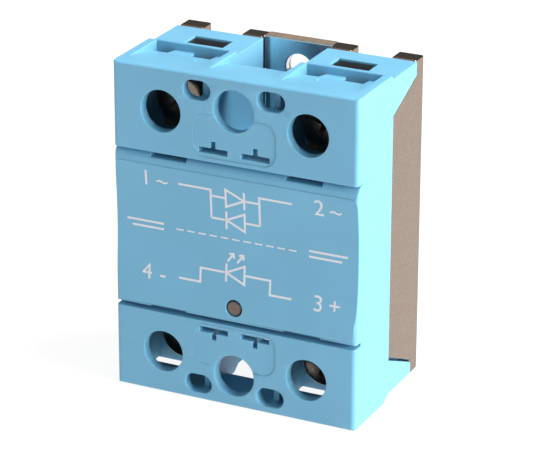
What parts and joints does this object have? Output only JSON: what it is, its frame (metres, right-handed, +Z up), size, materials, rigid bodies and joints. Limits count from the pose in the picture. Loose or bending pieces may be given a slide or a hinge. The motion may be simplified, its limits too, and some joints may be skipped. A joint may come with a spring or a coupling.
{
  "type": "solid state relay",
  "caption": "Panel-mount solid state relay: light blue moulded housing on a metal base plate, with recessed clamp screw terminals, probe slots and a status light.",
  "frame": {"origin": "middle of the mounting face at the back of the base plate", "axes": "+Y out of the mounting face, +Z up to the load terminals, +X to the right seen from the front"},
  "size_m": [0.045, 0.0272, 0.0588],
  "materials": {
    "housing": "satin light blue moulding",
    "nickel_plate": "satin nickel-plated aluminium",
    "seal": "cured adhesive bead",
    "window_lens": "smoked clear window",
    "led_body": "moulded LED package",
    "laminate": "green solder resist over glass laminate",
    "white_package": "white moulding compound",
    "black_package": "black moulding compound",
    "capacitor_body": "fired ceramic",
    "varistor_coat": "epoxy dip coating",
    "alumina": "white alumina",
    "copper": "bare copper",
    "silicon": "passivated silicon chip",
    "resin": "cast epoxy resin",
    "plated_brass": "tin-plated brass",
    "plated_steel": "bright nickel-plated steel",
    "zinc_steel": "zinc-plated steel"
  },
  "bodies": {
    "relay": {"housing": "housing", "base_plate": "nickel_plate", "base_seal": "seal", "window": "window_lens", "status_led": "led_body", "control_board": "laminate", "optocoupler": "white_package", "input_regulator": "black_package", "reverse_diode": "black_package", "board_resistors": "black_package", "board_capacitor": "capacitor_body", "varistor": "varistor_coat", "gate_pins": "plated_brass", "control_links": "plated_brass", "ceramic_substrate": "alumina", "copper_tracks": "copper", "thyristor_a": "silicon", "thyristor_b": "silicon", "cathode_clips": "copper", "potting_resin": "resin", "line_bar": "copper", "load_bar": "copper", "plus_bar": "plated_brass", "minus_bar": "plated_brass", "line_nut": "zinc_steel", "load_nut": "zinc_steel", "plus_nut": "zinc_steel", "minus_nut": "zinc_steel"},
    "line_clamp_assembly": {"line_clamp": "zinc_steel"},
    "line_screw_assembly": {"line_screw": "plated_steel"},
    "load_clamp_assembly": {"load_clamp": "zinc_steel"},
    "load_screw_assembly": {"load_screw": "plated_steel"},
    "minus_clamp_assembly": {"minus_clamp": "zinc_steel"},
    "minus_screw_assembly": {"minus_screw": "plated_steel"},
    "plus_clamp_assembly": {"plus_clamp": "zinc_steel"},
    "plus_screw_assembly": {"plus_screw": "plated_steel"}
  },
  "joints": [
    {"name": "line_clamp_lift", "type": "slide", "parent": "relay", "child": "line_clamp_assembly", "axis": [0, -1, 0], "range_m": [0, 0.0035]},
    {"name": "line_screw_turn", "type": "hinge", "parent": "line_clamp_assembly", "child": "line_screw_assembly", "pos_m": [-0.0135, -0.0176, 0.0218], "axis": [0, -1, 0], "range_deg": [0, 1576]},
    {"name": "load_clamp_lift", "type": "slide", "parent": "relay", "child": "load_clamp_assembly", "axis": [0, -1, 0], "range_m": [0, 0.0035]},
    {"name": "load_screw_turn", "type": "hinge", "parent": "load_clamp_assembly", "child": "load_screw_assembly", "pos_m": [0.0135, -0.0176, 0.0218], "axis": [0, -1, 0], "range_deg": [0, 1576]},
    {"name": "minus_clamp_lift", "type": "slide", "parent": "relay", "child": "minus_clamp_assembly", "axis": [0, -1, 0], "range_m": [0, 0.0035]},
    {"name": "minus_screw_turn", "type": "hinge", "parent": "minus_clamp_assembly", "child": "minus_screw_assembly", "pos_m": [-0.0135, -0.0176, -0.0218], "axis": [0, -1, 0], "range_deg": [0, 1801]},
    {"name": "plus_clamp_lift", "type": "slide", "parent": "relay", "child": "plus_clamp_assembly", "axis": [0, -1, 0], "range_m": [0, 0.0035]},
    {"name": "plus_screw_turn", "type": "hinge", "parent": "plus_clamp_assembly", "child": "plus_screw_assembly", "pos_m": [0.0135, -0.0176, -0.0218], "axis": [0, -1, 0], "range_deg": [0, 1801]}
  ],
  "couplings": [
    {"joint": "line_screw_turn", "follows": "line_clamp_lift", "rad_per_m": 7854},
    {"joint": "load_screw_turn", "follows": "load_clamp_lift", "rad_per_m": 7854},
    {"joint": "minus_screw_turn", "follows": "minus_clamp_lift", "rad_per_m": 8976},
    {"joint": "plus_screw_turn", "follows": "plus_clamp_lift", "rad_per_m": 8976}
  ]
}
